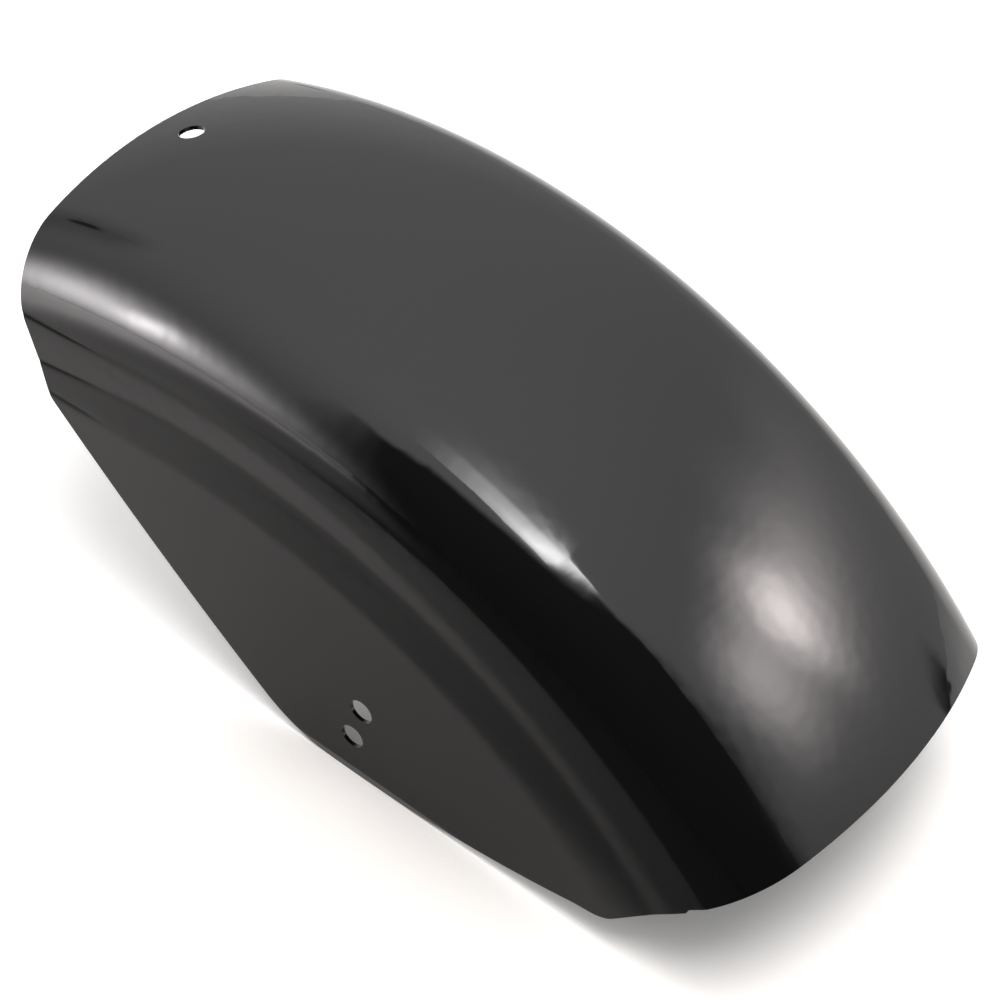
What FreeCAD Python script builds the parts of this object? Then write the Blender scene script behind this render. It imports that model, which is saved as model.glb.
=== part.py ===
"""Motorcycle rear fender: one steel sheet rolled over the wheel, with a crowned top and two flat skirts.

The fender stands on the lower edges of its skirts, as it does on a bench. +X points to its front end, +Y to its
left side and +Z up. The origin is on the bench, under the middle of the fender's box. While the sheet is shaped,
the wheel's axle lies along Y through the origin, and angles are measured about it, up from straight ahead.
"""
import FreeCAD
import Part
import math
import os

from FreeCAD import Vector

# Sheet and section, in millimetres. Radii are of the outer face.
SHEET = 1.5
WIDTH = 164.0
CROWN_RADIUS = 330.0
CROWN_ARC = 224.0
SHOULDER_RADIUS = 32.5

# Corners of the skirts: angle about the axle in degrees, depth below the crown and rounding in millimetres.
FRONT_CORNER_ANGLE = 72.3
FRONT_CORNER_DEPTH = 70.0
FRONT_CORNER_ROUND = 8.0
HIP_ANGLE = 104.6
HIP_DEPTH = 171.0
HIP_ROUND = 60.0
TAIL_CORNER_ANGLE = 136.9
TAIL_CORNER_DEPTH = 85.0
TAIL_CORNER_ROUND = 20.0

# Edges between the corners: how far each swells at its middle, and the angle by which both ends lean inwards.
DIAGONAL_BOW = 2.5
FOOT_BOW = 5.9
END_BOW = 4.7
END_LEAN = 2.5

# Bolt holes: one in the crown behind the front edge, and a pair in each skirt on a line that leans from the radius.
HOLE_DIAMETER = 10.0
CROWN_HOLE_SETBACK = 18.4
SIDE_HOLE_ANGLE = 111.1
SIDE_HOLE_DEPTH = 136.0
SIDE_HOLE_SPACING = 17.2
SIDE_HOLE_LEAN = 9.0

# Cutting tools and the uncut sheet run past the finished edges by this much.
OVERRUN = 20.0

AXLE = Vector(0, 0, 0)
ACROSS = Vector(0, 1, 0)
SWEEP_AXIS = Vector(0, -1, 0)


def along(angle):
    """Unit vector in the side view at an angle up from straight ahead."""
    return Vector(math.cos(math.radians(angle)), 0, math.sin(math.radians(angle)))


def below_crown(angle, depth):
    """Point in the side view at a depth below the crown's outer face."""
    return along(angle) * (CROWN_RADIUS - depth)


def line(start, end):
    return Part.LineSegment(start, end).toShape()


def arc(start, middle, end):
    return Part.Arc(start, middle, end).toShape()


def face_of(edges):
    return Part.Face(Part.Wire(Part.__sortEdges__(edges)))


FRONT_CORNER = below_crown(FRONT_CORNER_ANGLE, FRONT_CORNER_DEPTH)
HIP = below_crown(HIP_ANGLE, HIP_DEPTH)
TAIL_CORNER = below_crown(TAIL_CORNER_ANGLE, TAIL_CORNER_DEPTH)
FRONT_EDGE = along(FRONT_CORNER_ANGLE + END_LEAN)
TAIL_EDGE = along(TAIL_CORNER_ANGLE - END_LEAN)


def profile(inset, foot):
    """Edges of one face of the section, inset under the outer face, from skirt foot to skirt foot."""
    crown_centre = CROWN_RADIUS - CROWN_ARC
    shoulder_y = WIDTH / 2 - SHOULDER_RADIUS
    centre_distance = CROWN_ARC - SHOULDER_RADIUS
    tangent_turn = math.asin(shoulder_y / centre_distance)
    shoulder_x = crown_centre + centre_distance * math.cos(tangent_turn)
    bend_turn = (tangent_turn + math.pi / 2) / 2
    crown = CROWN_ARC - inset
    bend = SHOULDER_RADIUS - inset
    skirt_y = WIDTH / 2 - inset
    top = Vector(crown_centre + crown, 0, 0)
    halves = []
    for side in (-1, 1):
        tangent = Vector(crown_centre + crown * math.cos(tangent_turn), side * crown * math.sin(tangent_turn), 0)
        middle = Vector(
            shoulder_x + bend * math.cos(bend_turn), side * (shoulder_y + bend * math.sin(bend_turn)), 0
        )
        skirt_top = Vector(shoulder_x, side * skirt_y, 0)
        skirt_foot = Vector(foot, side * skirt_y, 0)
        halves.append((tangent, arc(tangent, middle, skirt_top), line(skirt_top, skirt_foot)))
    (right, *right_edges), (left, *left_edges) = halves
    return [*right_edges, arc(right, top, left), *left_edges]


def rolled_sheet():
    """Sheet section swept about the axle, longer and deeper than the finished fender."""
    foot = CROWN_RADIUS - HIP_DEPTH - OVERRUN
    edges = profile(0, foot) + profile(SHEET, foot)
    for skirt_y in (-WIDTH / 2, WIDTH / 2 - SHEET):
        edges.append(line(Vector(foot, skirt_y, 0), Vector(foot, skirt_y + SHEET, 0)))
    section = face_of(edges)
    spare = math.degrees(OVERRUN / CROWN_RADIUS)
    section.rotate(AXLE, SWEEP_AXIS, FRONT_CORNER_ANGLE - spare)
    return section.revolve(AXLE, SWEEP_AXIS, TAIL_CORNER_ANGLE - FRONT_CORNER_ANGLE + 2 * spare)


def lower_edge(start, end, bow, before, after):
    """Arc of the skirts' lower edge, which swells downwards at its middle and runs on before and after its ends."""
    swell = ACROSS.cross(start - end).normalize() * bow
    edge = arc(start, (start + end) * 0.5 + swell, end)
    circle = edge.Curve
    first = edge.FirstParameter - before / circle.Radius
    last = edge.LastParameter + after / circle.Radius
    return Part.ArcOfCircle(circle, first, last).toShape()


def end_tool(corner, edge, outward):
    """Block that removes all that lies past one end. Its face is an arc across the width, bowed out at mid width."""
    half = WIDTH / 2
    bow_radius = (half ** 2 + END_BOW ** 2) / (2 * END_BOW)
    reach = half + 2 * OVERRUN
    setback = bow_radius - END_BOW - math.sqrt(bow_radius ** 2 - reach ** 2)
    base = corner - edge * CROWN_RADIUS
    right = base - ACROSS * reach - outward * setback
    left = base + ACROSS * reach - outward * setback
    beyond = outward * (CROWN_RADIUS + setback)
    plan = face_of([
        arc(right, base + outward * END_BOW, left),
        line(left, left + beyond),
        line(left + beyond, right + beyond),
        line(right + beyond, right),
    ])
    return plan.extrude(edge * (2 * CROWN_RADIUS))


def corner_edge(block, corner):
    """The edge of the block that passes through one corner of the skirts."""
    end = Part.Vertex(corner + ACROSS * (WIDTH / 2))
    return min(block.Edges, key=lambda edge: edge.distToShape(end)[0])


def outline_block():
    """Block with the fender's side outline, from the lower edges of the skirts to clear above the crown."""
    diagonal = lower_edge(FRONT_CORNER, HIP, DIAGONAL_BOW, OVERRUN, 0)
    foot = lower_edge(HIP, TAIL_CORNER, FOOT_BOW, 0, OVERRUN)
    ahead = diagonal.firstVertex().Point
    behind = foot.lastVertex().Point
    side = face_of([
        diagonal,
        foot,
        line(behind, behind + TAIL_EDGE * CROWN_RADIUS),
        line(behind + TAIL_EDGE * CROWN_RADIUS, ahead + FRONT_EDGE * CROWN_RADIUS),
        line(ahead + FRONT_EDGE * CROWN_RADIUS, ahead),
    ])
    reach = ACROSS * (WIDTH / 2 + OVERRUN)
    side.translate(reach * -1)
    block = side.extrude(reach * 2).cut([
        end_tool(FRONT_CORNER, FRONT_EDGE, ACROSS.cross(FRONT_EDGE)),
        end_tool(TAIL_CORNER, TAIL_EDGE, TAIL_EDGE.cross(ACROSS)),
    ])
    roundings = (
        (FRONT_CORNER, FRONT_CORNER_ROUND),
        (HIP, HIP_ROUND),
        (TAIL_CORNER, TAIL_CORNER_ROUND),
    )
    for corner, rounding in roundings:
        block = block.makeFillet(rounding, [corner_edge(block, corner)])
    return block


def crown_hole():
    """Drill for the hole in the crown, along the radius."""
    front = FRONT_CORNER + FRONT_EDGE * FRONT_CORNER_DEPTH
    front_angle = math.degrees(math.atan2(front.z, front.x)) - math.degrees(END_BOW / CROWN_RADIUS)
    direction = along(front_angle + math.degrees(CROWN_HOLE_SETBACK / CROWN_RADIUS))
    start = direction * (CROWN_RADIUS - OVERRUN)
    return Part.makeCylinder(HOLE_DIAMETER / 2, 2 * OVERRUN, start, direction)


def side_hole(step):
    """Drill through both skirts for one hole of the pair, a step of half the spacing from the pair's middle."""
    middle = below_crown(SIDE_HOLE_ANGLE, SIDE_HOLE_DEPTH)
    centre = middle + along(SIDE_HOLE_ANGLE - SIDE_HOLE_LEAN) * (step * SIDE_HOLE_SPACING / 2)
    reach = ACROSS * (WIDTH / 2 + OVERRUN)
    return Part.makeCylinder(HOLE_DIAMETER / 2, 2 * reach.Length, centre - reach, ACROSS)


def fender():
    """The finished fender, about its axle."""
    sheet = rolled_sheet().common(outline_block())
    return sheet.cut([crown_hole(), side_hole(-1), side_hole(1)])


def on_bench(shape):
    """The shape moved so that the middle of its box's underside is the origin."""
    box = shape.optimalBoundingBox()
    return shape.translated(Vector(-box.Center.x, -box.Center.y, -box.ZMin))


os.makedirs("parts", exist_ok=True)
on_bench(fender()).exportStep("parts/fender.step")
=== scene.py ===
"""Looks of the motorcycle rear fender: its painted sheet, the bench it stands on and the studio round it.

+X points to the fender's front end, +Y to its left side and +Z up. While the sheet is shaped, the wheel's
axle lies along Y through the origin, and angles are measured about it, up from straight ahead. Lengths are
in metres.
"""
import math
from typing import NamedTuple

import bpy
import numpy as np
from bpy.props import FloatProperty, FloatVectorProperty, PointerProperty
from mathutils import Matrix, Vector


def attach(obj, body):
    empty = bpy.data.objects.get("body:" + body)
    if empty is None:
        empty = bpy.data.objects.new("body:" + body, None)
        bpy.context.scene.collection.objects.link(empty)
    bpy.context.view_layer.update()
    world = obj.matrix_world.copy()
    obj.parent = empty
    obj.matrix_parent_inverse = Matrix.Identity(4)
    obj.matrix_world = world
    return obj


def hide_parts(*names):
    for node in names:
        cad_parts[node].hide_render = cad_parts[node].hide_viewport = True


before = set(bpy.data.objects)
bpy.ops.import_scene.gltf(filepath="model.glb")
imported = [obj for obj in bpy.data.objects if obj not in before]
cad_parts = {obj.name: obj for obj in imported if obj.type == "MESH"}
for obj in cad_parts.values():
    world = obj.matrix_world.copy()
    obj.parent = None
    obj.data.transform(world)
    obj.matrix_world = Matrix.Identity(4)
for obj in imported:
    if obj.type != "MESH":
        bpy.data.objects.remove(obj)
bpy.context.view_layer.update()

bl_info = {
    "name": "Rear fender",
    "version": (1, 0, 0),
    "blender": (4, 5, 0),
    "location": "View3D > Sidebar > Fender",
    "description": "Shapes and paints a motorcycle rear fender, and sets it on a bench in a studio",
    "category": "Object",
}

# How finely the sheet is divided: along its length, and across the crown, each shoulder and each skirt.
COLUMNS = 150
CROWN_ROWS = 28
SHOULDER_ROWS = 44
SKIRT_ROWS = 82

# Cells from a hole's middle to the edge of its patch, along the sheet and across it.
PATCH_COLUMNS = 5
PATCH_ROWS = 5

# Rings in a patch, and how they crowd towards the hole.
PATCH_RINGS = 5
PATCH_CROWDING = 1.4

# Bends in each skirt: depth below the crown in front and further back, and the share of length between them.
PRESS_BENDS = ((0.0356, 0.0420, 0.25), (0.0552, 0.0584, 0.25), (0.0676, 0.0800, 0.60))

# How sharply the bends veer at the front end.
VEER_POWER = 3

# Crease where the crown meets each shoulder, shallow and darkened with painted shade: depth below the crown,
# and shares of length it lies between.
CROWN_CREASE = (0.0078, 0.020, 0.085)

# Depths below the crown between which the front end's swell grows.
SWELL_RANGE = (0.010, 0.034)

# Tail nick: share of the length where it begins, share of the skirt that forms it, and its growth below.
NICK_START = 0.94
NICK_TOP = 0.08
NICK_GROWTH = 0.7

# Offset that puts the sheet's thickness inside its outer face.
INWARD = -1.0

# Segments of the rounded edges, and the angle in degrees from which an edge is rounded.
EDGE_SEGMENTS = 2
EDGE_ANGLE = 50

# Waves to the metre and detail of the paint's mottling, its roughness, its long waves and its orange peel.
MOTTLE_GRAIN = (14.0, 2.0)
ROUGH_GRAIN = (30.0, 3.0)
WAVE_GRAIN = (180.0, 0.0)
PEEL_GRAIN = (380.0, 1.0)

# Tone of the paint's paler mottles, its range of roughness, its shine out of and in a crease, where the drop
# is painted shade, and refraction.
MOTTLE_TONE = 1.5
PAINT_ROUGHNESS = (0.03, 0.06)
PAINT_SHINE = (0.5, 0.05)
PAINT_IOR = 1.6

# Half width of the bench, and points along each of its sides.
BENCH_HALF = 8.0
BENCH_POINTS = 3

# Grain of the bench, tone of its darker patches, its roughness and its shine.
BENCH_GRAIN = (6.0, 2.0)
BENCH_TONE = 0.985
BENCH_ROUGHNESS = 0.45
BENCH_SHINE = 0.5

# Painted shade that the fender gives the bench's glow: how far it reaches, its samples and how quickly it
# deepens.
SHADE_REACH = 0.13
SHADE_SAMPLES = 6
SHADE_POWER = 3.0

# Upward part of a direction at which the room begins to grow brighter.
HORIZON_TOP = 0.35

# Degrees inside and outside a dark zone's sides between which its brim sinks, and half the fade of its brim.
SINK_INSIDE = 13.0
SINK_OUTSIDE = 4.0
BRIM_FADE = 4.0

# Width of the camera's sensor in millimetres.
SENSOR_WIDTH = 36.0


class DarkZone(NamedTuple):
    """A dark reflection painted into the room: the azimuths over which each side fades, its brim and how
    dark it is.
    """

    start: tuple
    end: tuple
    brim: float
    side_brim: float
    darkness: float


# Painted dark reflections: a wide dark zone at the camera's side, a fainter one ahead and a narrow low one
# behind on the right.
DARK_ZONES = (
    DarkZone(start=(152.0, 170.0), end=(284.0, 277.0), brim=62.0, side_brim=54.0, darkness=0.94),
    DarkZone(start=(72.0, 76.0), end=(100.0, 78.0), brim=39.0, side_brim=37.0, darkness=0.36),
    DarkZone(start=(320.0, 322.5), end=(328.5, 326.0), brim=3.0, side_brim=3.0, darkness=0.95),
)


class Lamp(NamedTuple):
    """A soft lamp: the point it lights, its place, size, light and edges, and the rays that see it."""

    name: str
    lit: tuple
    azimuth: float
    elevation: float
    width: float
    height: float
    radiance: float
    tint: tuple
    fades: tuple
    distance: float = 1.5
    rays: tuple = ("glossy",)


# Points that the lamps light, and their tints.
TAIL_TOP = (-0.120, 0.015, 0.116)
FRONT_SHOULDER = (0.105, 0.077, 0.153)
LEFT_SHOULDER = (-0.060, 0.069, 0.140)
BENCH_MIDDLE = (0.0, 0.0, 0.0)
PINK = (1.0, 0.92, 0.91)
PALE_PINK = (1.0, 0.96, 0.98)
WHITE = (1.0, 1.0, 1.0)

LAMPS = (
    Lamp(
        "tail_lamp", TAIL_TOP, azimuth=326.4, elevation=31.3, width=1.26, height=1.16,
        radiance=11.0, tint=PINK, fades=(0.24, 0.95, 0.63, 0.60),
    ),
    Lamp(
        "tail_core", TAIL_TOP, azimuth=312.3, elevation=39.1, width=0.66, height=0.88,
        radiance=12.2, tint=PINK, fades=(0.53, 0.48, 0.46, 0.98),
    ),
    Lamp(
        "tail_fill", TAIL_TOP, azimuth=302.3, elevation=33.3, width=1.15, height=1.12,
        radiance=4.5, tint=PINK, fades=(0.38, 0.62, 0.56, 0.44),
    ),
    Lamp(
        "tail_halo", TAIL_TOP, azimuth=312.1, elevation=18.9, width=3.92, height=1.43,
        radiance=3.3, tint=PINK, fades=(0.77, 0.58, 0.82, 0.45),
    ),
    Lamp(
        "front_lamp", FRONT_SHOULDER, azimuth=139.7, elevation=12.8, width=1.83, height=1.38,
        radiance=27.2, tint=PALE_PINK, fades=(0.45, 0.67, 0.49, 1.0),
        distance=1.2, rays=("diffuse", "glossy"),
    ),
    Lamp(
        "front_core", FRONT_SHOULDER, azimuth=141.2, elevation=7.0, width=0.39, height=0.89,
        radiance=13.6, tint=PALE_PINK, fades=(0.48, 0.59, 0.66, 0.57), distance=1.2,
    ),
    Lamp(
        "top_lamp", LEFT_SHOULDER, azimuth=248.4, elevation=72.5, width=0.86, height=0.63,
        radiance=14.7, tint=WHITE, fades=(0.42, 0.06, 0.37, 0.83),
    ),
    Lamp(
        "top_fill", LEFT_SHOULDER, azimuth=267.2, elevation=83.1, width=0.89, height=0.85,
        radiance=4.6, tint=WHITE, fades=(0.03, 0.47, 0.03, 0.65),
    ),
    Lamp(
        "bench_lamp", BENCH_MIDDLE, azimuth=228.0, elevation=78.0, width=1.0, height=1.0,
        radiance=11.4, tint=WHITE, fades=(0.2, 0.2, 0.2, 0.2), rays=("diffuse",),
    ),
)

# How quickly the lamps fade towards their edges.
LAMP_FALLOFF = 2.0

# Screen of painted dark reflection: nearest and farthest reach to the left, reach ahead and behind, lift off
# the bench.
SCREEN_NEAR = 0.0835
SCREEN_FAR = 8.0
SCREEN_SPAN = 8.0
SCREEN_LIFT = 0.0006

# Points along each side of the screen, and how they crowd towards the fender.
SCREEN_STEPS = 120
SCREEN_CROWDING = 4.0

# Border of the screen's near part: its farthest place to the left, where that begins, and its bend behind.
BORDER_LEFT = 0.163
BORDER_AHEAD = 0.16
BORDER_BEND = 0.82

# Distances past the border between which the screen's middle band and then its dark part begin.
MIDDLE_BAND = (-0.008, 0.008)
DARK_BAND = (0.018, 0.036)

# Front side of the dark part: its place ahead, the distance to the left where it leans ahead, lean and fade.
SIDE_AHEAD = 0.13
SIDE_LEFT = 0.45
SIDE_LEAN = 0.34
SIDE_FADE = (0.07, -0.07)

# Share of the reflected bench that the near part darkens as painted shade, how much less it darkens towards
# the front, and the places between.
NEAR_COVER = 0.65
NEAR_LOSS = 0.06
NEAR_RANGE = (-0.10, 0.22)

# Share that the middle band darkens beside the fender's middle, its loss to the metre ahead, and its limits.
MIDDLE_COVER = 0.808
MIDDLE_LOSS = 0.65
MIDDLE_RANGE = (-0.15, 0.30)

# Share that the dark part darkens, painting a dark room into reflections, and the places ahead of the fender
# between which the other parts end.
DARK_COVER = 0.96
COVER_END = (0.50, 0.27)

# Ends of the sheet and steps to either side of a middle.
FRONT = 1
TAIL = -1
SIDES = (-1, 1)


def length(name, description, default):
    return FloatProperty(name=name, description=description, default=default, unit="LENGTH", precision=5)


def degrees(name, description, default):
    return FloatProperty(name=name, description=description, default=math.radians(default), subtype="ANGLE")


def number(name, description, default):
    return FloatProperty(name=name, description=description, default=default, precision=4)


def colour(name, description, default):
    return FloatVectorProperty(
        name=name, description=description, default=default, size=3, min=0.0, max=1.0,
        subtype="COLOR", precision=4,
    )


class FenderSizes(bpy.types.PropertyGroup):
    """Sizes of the sheet. Radii are of the outer face, depths are below the crown's outer face."""

    sheet: length("Sheet", "Thickness of the steel sheet", 0.0015)
    width: length("Width", "Width over both skirts", 0.164)
    crown_radius: length("Crown radius", "Distance from the axle to the top of the crown", 0.330)
    crown_arc: length("Crown arc", "Radius of the crown across the width", 0.224)
    shoulder_radius: length("Shoulder radius", "Radius of the bend from crown to skirt", 0.0325)
    front_angle: degrees("Front corner angle", "Angle of the front corner about the axle", 72.3)
    front_depth: length("Front corner depth", "Depth of the front corner", 0.070)
    front_round: length("Front corner round", "Rounding of the front corner", 0.008)
    hip_angle: degrees("Hip angle", "Angle of the hip about the axle", 104.6)
    hip_depth: length("Hip depth", "Depth of the hip", 0.171)
    hip_round: length("Hip round", "Rounding of the hip", 0.060)
    tail_angle: degrees("Tail corner angle", "Angle of the tail corner about the axle", 136.9)
    tail_depth: length("Tail corner depth", "Depth of the tail corner", 0.085)
    tail_round: length("Tail corner round", "Rounding of the tail corner", 0.020)
    diagonal_bow: length("Diagonal bow", "Swell of the lower edge between front corner and hip", 0.0025)
    foot_bow: length("Foot bow", "Swell of the lower edge between hip and tail corner", 0.0059)
    end_bow: length("End bow", "Swell of both ends at mid width", 0.0047)
    front_swell: length("Front swell", "How far the front end stands out at the shoulders", 0.0012)
    end_lean: degrees("End lean", "Angle by which both ends lean inwards", 2.5)
    hole_diameter: length("Hole diameter", "Diameter of the bolt holes", 0.010)
    crown_hole_setback: length("Crown hole setback", "Distance of the hole behind the front edge", 0.0184)
    side_hole_angle: degrees("Side hole angle", "Angle of the middle of a pair of side holes", 111.1)
    side_hole_depth: length("Side hole depth", "Depth of the middle of a pair of side holes", 0.136)
    side_hole_spacing: length("Side hole spacing", "Distance between the holes of a pair", 0.0172)
    side_hole_lean: degrees("Side hole lean", "Angle of the pair from the radius", 9.0)
    edge_round: length("Edge round", "Rounding of the cut edges under the paint", 0.0004)


class FenderPress(bpy.types.PropertyGroup):
    """Marks that the press left in the skirts: a valley whose three bends are creases at the front end."""

    front_valley: length("Front valley", "Depth of the valley at the front end", 0.0005)
    back_valley: length("Back valley", "Depth of the valley further back", 0.0013)
    front_soft: length("Front softness", "Rounding of the bends at the front end", 0.0003)
    back_soft: length("Back softness", "Rounding of the bends further back", 0.0012)
    crease: length("Crease", "Depth of the crease in each bend at the front end", 0.0001)
    crease_spread: length("Crease spread", "Half width of the creases", 0.0008)
    crown_spread: length("Crown crease spread", "Half height of the crown's crease", 0.00018)
    crease_run: number("Crease run", "Share of the sheet's length over which the creases fade", 0.17)
    crease_fade: number("Crease fade", "Share of the length over which the crown's crease fades", 0.03)
    # The creases' darkness and their trails' darkness are painted shade: the paint's shine drops there.
    crease_strength: number("Crease tone", "How soon the creases are fully dark", 2.5)
    trail_shade: number("Trail tone", "How dark the creases' trails are", 0.38)
    trail_spread: length("Trail spread", "Half width of the creases' trails", 0.0018)
    trail_run: number("Trail run", "Share of the sheet's length over which the trails fade", 0.42)
    flat: length("Flat", "Depth of the flat that cuts off the foot of the shoulder", 0.0009)
    flat_length: length("Flat length", "How far the flat moves the first bend down", 0.0060)
    flat_start: number("Flat start", "Share of the length at which the flat begins", 0.10)
    flat_end: number("Flat end", "Share of the length at which the flat is complete", 0.75)
    cut_soft: length("Cut softness", "Rounding of the flat's upper edge", 0.00002)
    tail_nick: length("Tail nick", "How far the skirts' tail ends stand out below the shoulders", 0.0012)
    run: number("Run", "Share of the sheet's length over which the valley changes", 0.42)


class FenderPaint(bpy.types.PropertyGroup):
    """Finish of the sheet."""

    black: colour("Black", "Colour of the paint", (0.0022, 0.0022, 0.0023))
    peel: length("Orange peel", "Height of the fine waves in the coat", 0.000005)
    wave: length("Waves", "Height of the long waves in the coat", 0.000035)


class FenderStudio(bpy.types.PropertyGroup):
    """Bench, lights and camera."""

    bench: colour("Bench", "Colour of the bench", (0.87, 0.83, 0.80))
    # Painted light: the bench glows whiter for the camera and reflections, and the glow fades as painted
    # shade near the fender.
    glow: number("Bench glow", "How much whiter the bench looks away from the fender", 0.62)
    ceiling: number("Ceiling", "Brightness of the white room overhead", 1.22)
    horizon: number("Horizon", "Brightness of the white room near the horizon", 0.66)
    softness: number("Softness", "Share of the room's light that reaches the bench", 0.10)
    lens: number("Lens", "Focal length of the camera in millimetres", 75.725)
    azimuth: degrees("Azimuth", "Camera's turn about the fender", 214.12)
    elevation: degrees("Elevation", "Camera's height above the horizon", 44.73)
    roll: degrees("Roll", "Camera's turn about its own axis", 5.68)
    distance: length("Distance", "Camera's distance from its target", 0.822333)
    target: FloatVectorProperty(
        name="Target", description="Point in the middle of the picture",
        default=(0.026121, -0.033301, 0.038404), subtype="XYZ", unit="LENGTH", precision=5,
    )


def smooth(value, start, end):
    """Smooth step from 0 at the start to 1 at the end."""
    share = np.clip((value - start) / (end - start), 0.0, 1.0)
    return share * share * (3 - 2 * share)


def along(angle):
    """Unit vectors (x, z) in the side view, at angles up from straight ahead."""
    return np.stack([np.cos(angle), np.sin(angle)], axis=-1)


def bearing(vector):
    """Angle of a vector in the side view."""
    return math.atan2(vector[1], vector[0])


def bowed(start, end, bow):
    """Centre and radius of the arc from start to end whose middle stands out from the chord by the bow."""
    chord = end - start
    span = np.linalg.norm(chord)
    radius = (span ** 2 / 4 + bow ** 2) / (2 * bow)
    inward = np.array([chord[1], -chord[0]]) / span
    return (start + end) / 2 + inward * (radius - bow), radius


def nearest(options, place):
    return min(options, key=lambda point: np.linalg.norm(point - place))


def inside_line(corner, outward, arc, rounding):
    """Centre of the circle near the corner that touches a line through it and an arc, both from inside."""
    centre, radius = arc
    start = corner - outward * rounding
    edge = np.array([-outward[1], outward[0]])
    offset = start - centre
    middle = -(offset @ edge)
    half = math.sqrt(middle ** 2 - offset @ offset + (radius - rounding) ** 2)
    return nearest([start + edge * (middle + side * half) for side in SIDES], corner)


def inside_arcs(corner, first, second, rounding):
    """Centre of the circle near the corner that touches two arcs from inside."""
    between = second[0] - first[0]
    gap = np.linalg.norm(between)
    axis = between / gap
    square = np.array([-axis[1], axis[0]])
    reach = first[1] - rounding
    ahead = (gap ** 2 + reach ** 2 - (second[1] - rounding) ** 2) / (2 * gap)
    aside = math.sqrt(reach ** 2 - ahead ** 2)
    return nearest([first[0] + axis * ahead + square * side * aside for side in SIDES], corner)


class Outline:
    """Edges of the sheet in the side view, about the axle."""

    def __init__(self, sizes):
        self.sizes = sizes
        self.hip = along(sizes.hip_angle) * (sizes.crown_radius - sizes.hip_depth)
        self.corner = {
            FRONT: along(sizes.front_angle) * (sizes.crown_radius - sizes.front_depth),
            TAIL: along(sizes.tail_angle) * (sizes.crown_radius - sizes.tail_depth),
        }
        self.edge = {
            FRONT: along(sizes.front_angle + sizes.end_lean),
            TAIL: along(sizes.tail_angle - sizes.end_lean),
        }
        self.outward = {end: end * np.array([edge[1], -edge[0]]) for end, edge in self.edge.items()}

    def end_angle(self, end, across, radius):
        """Angle at which rings round the axle meet one end.

        The end is a plane through its corner, bowed outwards by an arc across the width. A ring meets it
        where the ring's distance along the outward direction equals the plane's distance plus the bow.
        """
        bow = self.sizes.end_bow
        bow_radius = ((self.sizes.width / 2) ** 2 + bow ** 2) / (2 * bow)
        outward = self.outward[end]
        reach = self.corner[end] @ outward + bow - bow_radius + np.sqrt(bow_radius ** 2 - across ** 2)
        return np.mod(bearing(outward) + end * np.arccos(reach / radius), 2 * math.pi)

    def lower_edge(self, fractions):
        """Points of a skirt's lower edge at fractions of its length, from the front end to the tail end.

        The edge is a chain of five tangent arcs: front corner, diagonal, hip, foot and tail corner. Each
        rounding touches its neighbours from inside, so its centre lies one rounding inside both of them.
        """
        sizes = self.sizes
        diagonal = bowed(self.corner[FRONT], self.hip, sizes.diagonal_bow)
        foot = bowed(self.hip, self.corner[TAIL], sizes.foot_bow)
        front_centre = inside_line(self.corner[FRONT], self.outward[FRONT], diagonal, sizes.front_round)
        hip_centre = inside_arcs(self.hip, diagonal, foot, sizes.hip_round)
        tail_centre = inside_line(self.corner[TAIL], self.outward[TAIL], foot, sizes.tail_round)
        bearings = np.unwrap([
            bearing(self.outward[FRONT]),
            bearing(front_centre - diagonal[0]),
            bearing(hip_centre - diagonal[0]),
            bearing(hip_centre - foot[0]),
            bearing(tail_centre - foot[0]),
            bearing(self.outward[TAIL]),
        ])
        centres = np.array([front_centre, diagonal[0], hip_centre, foot[0], tail_centre])
        radii = np.array([sizes.front_round, diagonal[1], sizes.hip_round, foot[1], sizes.tail_round])
        ends = np.concatenate([[0.0], np.cumsum(radii * -np.diff(bearings))])
        walked = fractions * ends[-1]
        arc = np.clip(np.searchsorted(ends, walked, side="right") - 1, 0, len(radii) - 1)
        turned = bearings[arc] - (walked - ends[arc]) / radii[arc]
        return centres[arc] + radii[arc, None] * along(turned)


def section(sizes):
    """Crown and shoulders of the outer face from right to left: place across and radius from the axle.

    Both follow from the turn of the face's normal. The crown is one arc about the middle plane, and each
    shoulder is a smaller arc that is tangent to it and to the flat skirt. The points crowd where the arcs
    meet.
    """
    aside = sizes.width / 2 - sizes.shoulder_radius
    apart = sizes.crown_arc - sizes.shoulder_radius
    tangent = math.asin(aside / apart)
    crown_base = sizes.crown_radius - sizes.crown_arc
    crown = tangent * np.sin(np.linspace(-math.pi / 2, math.pi / 2, CROWN_ROWS))
    steps = smooth(np.linspace(0, 1, SHOULDER_ROWS), 0.0, 1.0)
    shoulder = tangent + (math.pi / 2 - tangent) * steps[1:]
    turns = np.concatenate([-shoulder[::-1], crown, shoulder])
    on_crown = np.abs(turns) <= tangent
    arc = np.where(on_crown, sizes.crown_arc, sizes.shoulder_radius)
    across = np.where(on_crown, 0.0, np.sign(turns) * aside) + arc * np.sin(turns)
    radius = crown_base + np.where(on_crown, 0.0, apart * math.cos(tangent)) + arc * np.cos(turns)
    return across, radius


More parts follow.
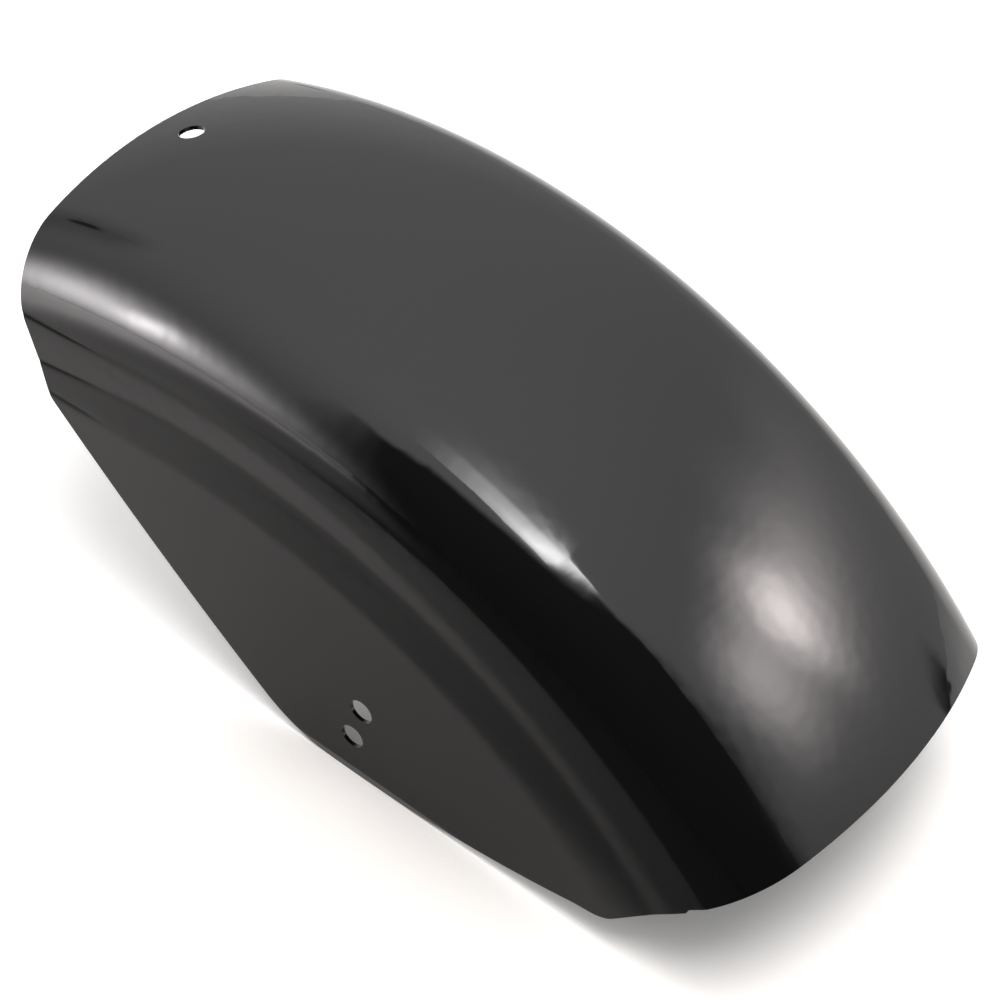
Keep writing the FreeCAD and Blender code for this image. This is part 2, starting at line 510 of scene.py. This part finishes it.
def press_marks(sizes, press, grid, fractions):
    """How far the press marks lie below the skirts' flat, and the painted shade each point gets from
    creases.

    A flat cuts off the foot of the shoulder and grows towards the tail. From it a valley falls evenly from
    its first bend to its second and rises to its third. Each bend is a soft hinge: the logarithm of one plus
    an exponential, which is flat before the bend and straight after it. Bell-shaped creases lie in the bends
    at the front end and take painted shade as well as a little depth, and faint trails of painted shade
    without depth run on behind them.
    """
    run = smooth(fractions, 0.0, press.run)[:, None]
    flat = press.flat * smooth(fractions, press.flat_start, press.flat_end)[:, None]
    drop = sizes.crown_radius - np.hypot(grid[..., 0], grid[..., 2])
    places = []
    for front, back, veer in PRESS_BENDS:
        ahead = np.clip(1 - fractions[:, None] / veer, 0.0, 1.0) ** VEER_POWER
        places.append(back + (front - back) * ahead)
    places[0] = places[0] + press.flat_length * flat / press.flat
    valley = press.front_valley + (press.back_valley - press.front_valley) * run
    soft = press.front_soft + (press.back_soft - press.front_soft) * run
    first, second, third = [soft * np.logaddexp(0.0, (drop - place) / soft) for place in places]
    fall = (valley - flat) / (places[1] - places[0])
    rise = valley / (places[2] - places[1])
    face = flat + fall * first - (fall + rise) * second + rise * third
    relief = face - (sizes.width / 2 - np.abs(grid[..., 1]))
    relief = press.cut_soft * np.logaddexp(0.0, relief / press.cut_soft)
    crown_place, begin, end = CROWN_CREASE
    crown_share = smooth(fractions, begin, begin + press.crease_fade)
    crown_share = crown_share * smooth(fractions, end, end - press.crease_fade)
    shares = [smooth(fractions, press.crease_run, 0.0)] * len(places) + [crown_share]
    spreads = [press.crease_spread] * len(places) + [press.crown_spread]
    crease = np.zeros_like(drop)
    for middle, spread, share in zip((*places, crown_place), spreads, shares):
        crease += np.exp(-((drop - middle) / spread) ** 2) * share[:, None]
    crease = np.minimum(press.crease_strength * crease, 1.0)
    trail = np.zeros_like(drop)
    for middle in places:
        trail += np.exp(-((drop - middle) / press.trail_spread) ** 2)
    trail *= press.trail_shade * smooth(fractions, press.trail_run, press.crease_run / 2)[:, None]
    return relief + press.crease * crease, np.maximum(crease, trail)


def sheet_grid(sizes, press, outline):
    """Outer face about the axle, as points by column and row, and the painted shade each point gets from
    creases.

    Columns run from the front end to the tail end, rows from the right lower edge over the crown to the left
    one. On the crown and shoulders a point is its section's point, turned about the axle by an angle that
    grows evenly from one end to the other. On a skirt, a column is a straight line from the shoulder's foot
    to the lower edge.
    """
    fractions = np.linspace(0, 1, COLUMNS)
    across, radius = section(sizes)
    swell = sizes.front_swell * smooth(sizes.crown_radius - radius, *SWELL_RANGE)
    first = outline.end_angle(FRONT, across, radius) - swell / radius
    last = outline.end_angle(TAIL, across, radius)
    side_view = along(first + (last - first) * fractions[:, None]) * radius[:, None]
    top = np.insert(side_view, 1, across, axis=-1)
    depth = np.linspace(0, 1, SKIRT_ROWS)[1:, None]
    skirts = []
    for row in (0, -1):
        foot = np.insert(outline.lower_edge(fractions), 1, across[row], axis=-1)
        skirts.append(top[:, None, row] * (1 - depth) + foot[:, None] * depth)
    nick = press.tail_nick * smooth(fractions, NICK_START, 1.0)[:, None]
    nick = nick * (smooth(depth, 0.0, NICK_TOP) * (1 + NICK_GROWTH * depth))[:, 0]
    for skirt in skirts:
        skirt[..., 0::2] += nick[..., None] * outline.outward[TAIL]
    right, left = skirts
    grid = np.concatenate([right[:, ::-1], top, left], axis=1)
    relief, crease = press_marks(sizes, press, grid, fractions)
    grid[..., 1] -= np.sign(grid[..., 1]) * relief
    return grid, crease


class Hole:
    """A bolt hole: its middle on the outer face, two directions along the face, and one out of it."""

    def __init__(self, middle, ahead, aside, height):
        self.middle = np.asarray(middle)
        self.axes = np.array([ahead, aside])
        self.outward = np.cross(ahead, aside)
        self.height = height

    def rings(self, border, radius):
        """Rings of points from the hole's circle to the border of its patch.

        The border is laid flat along the two directions. Each ring lies a step along straight rays from the
        circle to the border, and is then raised out of the flat by the face's own height there.
        """
        flat = (border - self.middle) @ self.axes.T
        rim = radius * flat / np.linalg.norm(flat, axis=1, keepdims=True)
        steps = np.linspace(0, 1, PATCH_RINGS)[:-1, None, None] ** PATCH_CROWDING
        rings = rim + (flat - rim) * steps
        return self.middle + rings @ self.axes + self.height(rings)[..., None] * self.outward


def bolt_holes(sizes, outline):
    """The hole in the crown and the pair in each skirt."""
    front = outline.corner[FRONT] + outline.edge[FRONT] * sizes.front_depth
    angle = bearing(front) + (sizes.crown_hole_setback - sizes.end_bow) / sizes.crown_radius
    upright = np.insert(along(angle), 1, 0.0)
    across = np.array([0.0, 1.0, 0.0])

    def crown_height(flat):
        """Height of the crown over the flat: the ring's radius at that width, less what is lost along it."""
        base = sizes.crown_radius - sizes.crown_arc
        radius = base + np.sqrt(sizes.crown_arc ** 2 - flat[..., 1] ** 2)
        return np.sqrt(radius ** 2 - flat[..., 0] ** 2) - sizes.crown_radius

    def no_height(flat):
        return np.zeros(flat.shape[:-1])

    holes = [Hole(upright * sizes.crown_radius, np.cross(across, upright), across, crown_height)]
    middle = along(sizes.side_hole_angle) * (sizes.crown_radius - sizes.side_hole_depth)
    step = along(sizes.side_hole_angle - sizes.side_hole_lean) * sizes.side_hole_spacing / 2
    for side in SIDES:
        for way in SIDES:
            place = np.insert(middle + way * step, 1, side * sizes.width / 2)
            holes.append(Hole(place, [1.0, 0.0, 0.0], [0.0, 0.0, 1.0], no_height))
    return holes


def quads(numbers):
    """Four-sided faces between neighbours in a grid of point numbers."""
    corners = [numbers[:-1, :-1], numbers[:-1, 1:], numbers[1:, 1:], numbers[1:, :-1]]
    return np.stack(corners, axis=-1)


def block_border(numbers, columns, rows):
    """Point numbers round a block of the grid's cells."""
    first, last, low, high = columns.start, columns.stop, rows.start, rows.stop
    return np.concatenate([
        numbers[first:last, low],
        numbers[last, low:high],
        numbers[last:first:-1, high],
        numbers[first, high:low:-1],
    ])


def shell_surface(sizes, press):
    """Points, faces and painted crease shade of the outer face with its holes, standing on the bench about
    the origin.

    A block of cells round each hole gives way to a patch of rings from the hole's circle to the block.
    """
    outline = Outline(sizes)
    grid, crease = sheet_grid(sizes, press, outline)
    numbers = np.arange(grid[..., 0].size).reshape(grid.shape[:2])
    whole = np.ones((numbers.shape[0] - 1, numbers.shape[1] - 1), bool)
    points = grid.reshape(-1, 3)
    faces = []
    for hole in bolt_holes(sizes, outline):
        distance = np.linalg.norm(grid - hole.middle, axis=-1)
        column, row = np.unravel_index(np.argmin(distance), distance.shape)
        columns = slice(column - PATCH_COLUMNS, column + PATCH_COLUMNS)
        rows = slice(row - PATCH_ROWS, row + PATCH_ROWS)
        whole[columns, rows] = False
        border = block_border(numbers, columns, rows)
        rings = hole.rings(points[border], sizes.hole_diameter / 2)
        ring_numbers = len(points) + np.arange(rings[..., 0].size).reshape(rings.shape[:2])
        ring_numbers = np.concatenate([ring_numbers, border[None]])
        faces.append(quads(np.column_stack([ring_numbers, ring_numbers[:, :1]])).reshape(-1, 4))
        points = np.concatenate([points, rings.reshape(-1, 3)])
    faces.append(quads(numbers)[whole])
    used, faces = np.unique(np.concatenate(faces), return_inverse=True)
    crease = np.pad(crease.ravel(), (0, len(points) - crease.size))[used]
    points = points[used]
    low, high = points.min(axis=0), points.max(axis=0)
    return points - [(low[0] + high[0]) / 2, 0.0, low[2]], faces.reshape(-1, 4), crease


def mesh_object(name, points, faces, material):
    """A new smooth object with this mesh and material."""
    mesh = bpy.data.meshes.new(name)
    mesh.from_pydata(points.tolist(), [], faces.tolist())
    mesh.polygons.foreach_set("use_smooth", np.ones(len(faces), bool))
    mesh.materials.append(material)
    mesh.validate()
    made = bpy.data.objects.new(name, mesh)
    bpy.context.scene.collection.objects.link(made)
    return made


def set_values(made, name, values):
    """Stores a value for each point of an object's mesh, for its material to read."""
    made.data.attributes.new(name, "FLOAT", "POINT").data.foreach_set("value", values)


def add_node(tree, kind, inputs, **settings):
    """A new node with its settings, whose inputs are set to values or linked from other nodes' outputs."""
    node = tree.nodes.new(kind)
    for name, value in settings.items():
        setattr(node, name, value)
    for name, value in inputs.items():
        if isinstance(value, bpy.types.NodeSocket):
            tree.links.new(value, node.inputs[name])
        else:
            node.inputs[name].default_value = value
    return node


def empty_material(name):
    """A new material with no nodes, and its node tree."""
    material = bpy.data.materials.new(name)
    material.use_nodes = True
    material.node_tree.nodes.clear()
    return material, material.node_tree


def noise(tree, place, scale, detail):
    """Noise over the object, from 0 to 1, with this many waves to the metre."""
    inputs = {"Vector": place, "Scale": scale, "Detail": detail}
    return add_node(tree, "ShaderNodeTexNoise", inputs).outputs[0]


def remap(tree, value, low, high):
    """A value from 0 to 1 stretched to another range."""
    return add_node(tree, "ShaderNodeMapRange", {"Value": value, "To Min": low, "To Max": high}).outputs[0]


def math_node(tree, operation, *values):
    """Result of a sum on values or on other nodes' outputs."""
    return add_node(tree, "ShaderNodeMath", dict(enumerate(values)), operation=operation).outputs[0]


def step_node(tree, value, start, end):
    """Smooth step from 0 at the start to 1 at the end."""
    inputs = {"Value": value, "From Min": start, "From Max": end}
    return add_node(tree, "ShaderNodeMapRange", inputs, interpolation_type="SMOOTHSTEP").outputs[0]


def black_paint(paint):
    """Gloss black paint: nearly even, with fine orange peel and long waves that bend its reflections."""
    material, tree = empty_material("black_paint")
    place = add_node(tree, "ShaderNodeTexCoord", {}).outputs["Object"]
    mottle = noise(tree, place, *MOTTLE_GRAIN)
    base = [*paint.black, 1.0]
    pale = [value * MOTTLE_TONE for value in paint.black] + [1.0]
    tone = add_node(tree, "ShaderNodeMix", {"Factor": mottle, "A": base, "B": pale}, data_type="RGBA")
    tint = tone.outputs["Result"]
    rough = remap(tree, noise(tree, place, *ROUGH_GRAIN), *PAINT_ROUGHNESS)
    # Painted shade in the creases and their trails: the paint's shine drops there.
    crease = add_node(tree, "ShaderNodeAttribute", {}, attribute_name="crease").outputs["Fac"]
    shine = remap(tree, crease, *PAINT_SHINE)
    waves = remap(tree, noise(tree, place, *WAVE_GRAIN), 0.0, paint.wave)
    peel = remap(tree, noise(tree, place, *PEEL_GRAIN), 0.0, paint.peel)
    height = math_node(tree, "ADD", waves, peel)
    bump = add_node(tree, "ShaderNodeBump", {"Strength": 1.0, "Distance": 1.0, "Height": height})
    shader = add_node(
        tree, "ShaderNodeBsdfPrincipled",
        {
            "Base Color": tint, "Roughness": rough, "IOR": PAINT_IOR, "Specular IOR Level": shine,
            "Normal": bump.outputs["Normal"],
        },
    )
    add_node(tree, "ShaderNodeOutputMaterial", {"Surface": shader.outputs["BSDF"]})
    return material


def ray_mask(tree, *rays):
    """1 for these kinds of rays, 0 for others."""
    path = add_node(tree, "ShaderNodeLightPath", {})
    share = path.outputs[rays[0]]
    for ray in rays[1:]:
        share = math_node(tree, "MAXIMUM", share, path.outputs[ray])
    return share


def bench_finish(studio):
    """Matt pale bench with a faint grain and a painted white glow that fades as painted shade near the
    fender.
    """
    material, tree = empty_material("pale_bench")
    place = add_node(tree, "ShaderNodeTexCoord", {}).outputs["Object"]
    dark = [value * BENCH_TONE for value in studio.bench] + [1.0]
    inputs = {"Factor": noise(tree, place, *BENCH_GRAIN), "A": [*studio.bench, 1.0], "B": dark}
    tone = add_node(tree, "ShaderNodeMix", inputs, data_type="RGBA")
    # Painted shade: the glow dims where the fender hides the bench from its surroundings.
    shade = add_node(tree, "ShaderNodeAmbientOcclusion", {"Distance": SHADE_REACH}, samples=SHADE_SAMPLES)
    opened = math_node(tree, "POWER", shade.outputs["AO"], SHADE_POWER)
    glow = math_node(tree, "MULTIPLY", opened, studio.glow)
    seen = ray_mask(tree, "Is Camera Ray", "Is Glossy Ray", "Is Transmission Ray")
    shader = add_node(
        tree, "ShaderNodeBsdfPrincipled",
        {
            "Base Color": tone.outputs["Result"], "Roughness": BENCH_ROUGHNESS,
            "Specular IOR Level": BENCH_SHINE, "Emission Color": (*WHITE, 1.0),
            "Emission Strength": math_node(tree, "MULTIPLY", glow, seen),
        },
    )
    add_node(tree, "ShaderNodeOutputMaterial", {"Surface": shader.outputs["BSDF"]})
    return material


def bench(studio):
    """Wide flat bench under the fender."""
    edge = np.linspace(-BENCH_HALF, BENCH_HALF, BENCH_POINTS)
    x, y = np.meshgrid(edge, edge, indexing="ij")
    points = np.stack([x, y, np.zeros_like(x)], axis=-1).reshape(-1, 3)
    faces = quads(np.arange(x.size).reshape(x.shape)).reshape(-1, 4)[:, ::-1]
    floor = mesh_object("bench", points, faces, bench_finish(studio))


def heading(azimuth, elevation):
    """Unit vector from the fender towards a place at this azimuth and elevation, in radians."""
    flat = math.cos(elevation)
    return Vector((math.sin(azimuth) * flat, -math.cos(azimuth) * flat, math.sin(elevation)))


def within_zone(tree, direction, dark):
    """1 for directions within a dark zone of the room, between its sides and under its brim, 0 for others.

    Each side fades from its outer to its inner azimuth. The brim sinks towards the sides.
    """
    middle = math.radians(dark.start[1] + dark.end[1]) / 2
    ahead = heading(middle, 0.0)
    aside = Vector((-ahead.y, ahead.x, 0.0))
    shares = []
    for axis in (aside, ahead):
        inputs = {0: direction, 1: axis}
        share = add_node(tree, "ShaderNodeVectorMath", inputs, operation="DOT_PRODUCT")
        shares.append(share.outputs["Value"])
    turn = math_node(tree, "ARCTAN2", *shares)
    half = math.radians(dark.end[1] - dark.start[1]) / 2
    within = 1.0
    for outer, inner in (dark.start, dark.end):
        side = step_node(tree, turn, math.radians(outer) - middle, math.radians(inner) - middle)
        within = math_node(tree, "MULTIPLY", side, within)
    upward = add_node(tree, "ShaderNodeSeparateXYZ", {"Vector": direction}).outputs["Z"]
    rise = math_node(tree, "ARCSINE", upward)
    turned = math_node(tree, "ABSOLUTE", turn)
    sunk = step_node(tree, turned, half - math.radians(SINK_INSIDE), half + math.radians(SINK_OUTSIDE))
    edge = remap(tree, sunk, math.radians(dark.brim), math.radians(dark.side_brim))
    over = math_node(tree, "SUBTRACT", rise, edge)
    under = step_node(tree, over, math.radians(BRIM_FADE), math.radians(-BRIM_FADE))
    return math_node(tree, "MULTIPLY", under, within)


def white_room(studio):
    """White world, brighter overhead than near the horizon, with dark zones painted into its reflections
    only.
    """
    world = bpy.data.worlds.new("white_room")
    world.use_nodes = True
    tree = world.node_tree
    tree.nodes.clear()
    direction = add_node(tree, "ShaderNodeTexCoord", {}).outputs["Generated"]
    upward = add_node(tree, "ShaderNodeSeparateXYZ", {"Vector": direction}).outputs["Z"]
    inputs = {
        "Value": upward, "From Min": HORIZON_TOP, "From Max": 1.0,
        "To Min": studio.horizon, "To Max": studio.ceiling,
    }
    level = add_node(tree, "ShaderNodeMapRange", inputs).outputs[0]
    mirrored = ray_mask(tree, "Is Glossy Ray")
    # Painted dark reflections: glossy rays alone see the dark zones.
    for dark in DARK_ZONES:
        covered = math_node(tree, "MULTIPLY", within_zone(tree, direction, dark), mirrored)
        level = math_node(tree, "MULTIPLY", level, remap(tree, covered, 1.0, 1.0 - dark.darkness))
    seen = ray_mask(tree, "Is Camera Ray", "Is Transmission Ray")
    level = math_node(tree, "MULTIPLY", level, remap(tree, mirrored, studio.softness, 1.0))
    strength = add_node(tree, "ShaderNodeMix", {"Factor": seen, "A": level, "B": 1.0}, data_type="FLOAT")
    inputs = {"Color": (*WHITE, 1.0), "Strength": strength.outputs["Result"]}
    light = add_node(tree, "ShaderNodeBackground", inputs)
    add_node(tree, "ShaderNodeOutputWorld", {"Surface": light.outputs[0]})
    bpy.context.scene.world = world


def painted_reflection_screen():
    """Screen of painted dark reflection on the bench at the camera's side, which only reflections see.

    Its points lie on a flat grid whose steps widen away from the fender. In reflections it darkens more than
    half of the bench close to the skirt as painted shade, another share in a band past a curved border, and
    nearly all of it beyond the band as a painted dark room, up to a slanting side ahead of the fender.
    """
    steps = np.linspace(0, 1, SCREEN_STEPS)
    left = SCREEN_NEAR * (SCREEN_FAR / SCREEN_NEAR) ** steps
    ahead = SCREEN_SPAN * np.sinh(SCREEN_CROWDING * (2 * steps - 1)) / math.sinh(SCREEN_CROWDING)
    x, y = np.meshgrid(ahead, left, indexing="ij")
    border = BORDER_LEFT - BORDER_BEND * (np.minimum(x, BORDER_AHEAD) - BORDER_AHEAD) ** 2
    side = SIDE_AHEAD + SIDE_LEAN * np.maximum(y - SIDE_LEFT, 0.0)
    near = NEAR_COVER - NEAR_LOSS * smooth(x, *NEAR_RANGE)
    middle = MIDDLE_COVER - MIDDLE_LOSS * np.clip(x, *MIDDLE_RANGE)
    painted_darkening = near + (middle - near) * smooth(y - border, *MIDDLE_BAND)
    painted_darkening *= smooth(x, *COVER_END)
    painted_darkening += (DARK_COVER - painted_darkening) * smooth(y - border, *DARK_BAND) * smooth(x - side, *SIDE_FADE)
    points = np.stack([x, y, np.full_like(x, SCREEN_LIFT)], axis=-1)
    # Black emission mixed with a clear surface by the darkening share paints the darkness into reflections.
    material, tree = empty_material("painted_reflection_screen")
    share = add_node(tree, "ShaderNodeAttribute", {}, attribute_name="painted_darkening").outputs["Fac"]
    clear = add_node(tree, "ShaderNodeBsdfTransparent", {}).outputs[0]
    black = add_node(tree, "ShaderNodeEmission", {"Color": (0.0, 0.0, 0.0, 1.0), "Strength": 1.0}).outputs[0]
    mixed = add_node(tree, "ShaderNodeMixShader", {"Fac": share, 1: clear, 2: black}).outputs[0]
    add_node(tree, "ShaderNodeOutputMaterial", {"Surface": mixed})
    faces = quads(np.arange(x.size).reshape(x.shape)).reshape(-1, 4)
    screen = mesh_object("painted_reflection_screen", points.reshape(-1, 3), faces, material)
    set_values(screen, "painted_darkening", painted_darkening.ravel())
    # Only reflections see the screen.
    for ray in ("camera", "diffuse", "transmission", "volume_scatter", "shadow"):
        setattr(screen, "visible_" + ray, False)


def soft_lamp(kind):
    """Area lamp that shines on a lit point from a direction.

    It fades towards its left, right, lower and upper edges, each over its own share of the lamp.
    """
    lamp = bpy.data.lights.new(kind.name, "AREA")
    lamp.shape = "RECTANGLE"
    lamp.size = kind.width
    lamp.size_y = kind.height
    lamp.energy = kind.radiance * math.pi * kind.width * kind.height
    lamp.color = kind.tint
    lamp.use_nodes = True
    tree = lamp.node_tree
    tree.nodes.clear()
    spot = add_node(tree, "ShaderNodeNewGeometry", {}).outputs["Parametric"]
    parts = add_node(tree, "ShaderNodeSeparateXYZ", {"Vector": spot})
    strength = 1.0
    for axis, edge, fade in zip("XXYY", (0.0, 1.0, 0.0, 1.0), kind.fades):
        inner = edge + fade * (1 - 2 * edge)
        strength = math_node(tree, "MULTIPLY", step_node(tree, parts.outputs[axis], edge, inner), strength)
    strength = math_node(tree, "POWER", strength, LAMP_FALLOFF)
    glow = add_node(tree, "ShaderNodeEmission", {"Color": (*WHITE, 1.0), "Strength": strength})
    add_node(tree, "ShaderNodeOutputLight", {"Surface": glow.outputs[0]})
    away = heading(math.radians(kind.azimuth), math.radians(kind.elevation))
    made = bpy.data.objects.new(kind.name, lamp)
    made.location = Vector(kind.lit) + away * kind.distance
    made.rotation_euler = away.to_track_quat("Z", "Y").to_euler()
    for ray in ("camera", "diffuse", "glossy"):
        setattr(made, "visible_" + ray, ray in kind.rays)
    bpy.context.scene.collection.objects.link(made)


def camera(studio):
    """Camera at the picture's viewing angle: it looks at the target and is turned by its roll."""
    lens = bpy.data.cameras.new("camera")
    lens.sensor_width = SENSOR_WIDTH
    lens.lens = studio.lens
    made = bpy.data.objects.new("camera", lens)
    back = heading(studio.azimuth, studio.elevation)
    right = Vector((math.cos(studio.azimuth), math.sin(studio.azimuth), 0.0))
    upward = back.cross(right)
    turned = right * math.cos(studio.roll) + upward * math.sin(studio.roll)
    axes = Matrix((turned, back.cross(turned), back)).transposed().to_4x4()
    made.matrix_world = Matrix.Translation(Vector(studio.target) + back * studio.distance) @ axes
    bpy.context.scene.collection.objects.link(made)
    bpy.context.scene.camera = made


class FENDER_OT_form_shell(bpy.types.Operator):
    """Forms the fender's painted sheet: outer face, thickness, holes and rounded edges."""

    bl_idname = "fender.form_shell"
    bl_label = "Form the fender"

    def execute(self, context):
        sizes = context.scene.fender_sizes
        points, faces, crease = shell_surface(sizes, context.scene.fender_press)
        shell = mesh_object("fender_shell", points, faces, black_paint(context.scene.fender_paint))
        # The creases' painted shade, for the paint to read.
        set_values(shell, "crease", crease)
        wall = shell.modifiers.new("wall", "SOLIDIFY")
        wall.thickness = sizes.sheet
        wall.offset = INWARD
        wall.use_even_offset = True
        wall.use_quality_normals = True
        edge = shell.modifiers.new("edge", "BEVEL")
        edge.width = sizes.edge_round
        edge.segments = EDGE_SEGMENTS
        edge.limit_method = "ANGLE"
        edge.angle_limit = math.radians(EDGE_ANGLE)
        edge.harden_normals = True
        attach(shell, "root")
        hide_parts("fender")
        return {"FINISHED"}


class FENDER_OT_set_stage(bpy.types.Operator):
    """Sets the bench, the white room, the screen of painted dark reflection, the soft lamps and the camera.
    """

    bl_idname = "fender.set_stage"
    bl_label = "Set the stage"

    def execute(self, context):
        studio = context.scene.fender_studio
        bench(studio)
        white_room(studio)
        painted_reflection_screen()
        for lamp in LAMPS:
            soft_lamp(lamp)
        camera(studio)
        context.scene.view_settings.view_transform = "Standard"
        return {"FINISHED"}


class FENDER_PT_sidebar(bpy.types.Panel):
    """Sizes, finish and studio of the fender, and the steps that build it."""

    bl_idname = "FENDER_PT_sidebar"
    bl_label = "Rear fender"
    bl_space_type = "VIEW_3D"
    bl_region_type = "UI"
    bl_category = "Fender"

    def draw(self, context):
        for group, step in STEPS:
            box = self.layout.box()
            for holder in group:
                settings = getattr(context.scene, holder)
                for name in settings.__annotations__:
                    box.prop(settings, name)
            box.operator(step.bl_idname)


STEPS = (
    (("fender_sizes", "fender_press", "fender_paint"), FENDER_OT_form_shell),
    (("fender_studio",), FENDER_OT_set_stage),
)
SETTINGS = {
    "fender_sizes": FenderSizes,
    "fender_press": FenderPress,
    "fender_paint": FenderPaint,
    "fender_studio": FenderStudio,
}
CLASSES = (*SETTINGS.values(), FENDER_OT_form_shell, FENDER_OT_set_stage, FENDER_PT_sidebar)


def register():
    for item in CLASSES:
        bpy.utils.register_class(item)
    for name, group in SETTINGS.items():
        setattr(bpy.types.Scene, name, PointerProperty(type=group))


def unregister():
    for name in SETTINGS:
        delattr(bpy.types.Scene, name)
    for item in reversed(CLASSES):
        bpy.utils.unregister_class(item)


def main():
    register()
    bpy.ops.fender.form_shell()
    bpy.ops.fender.set_stage()


if __name__ == "__main__":
    main()
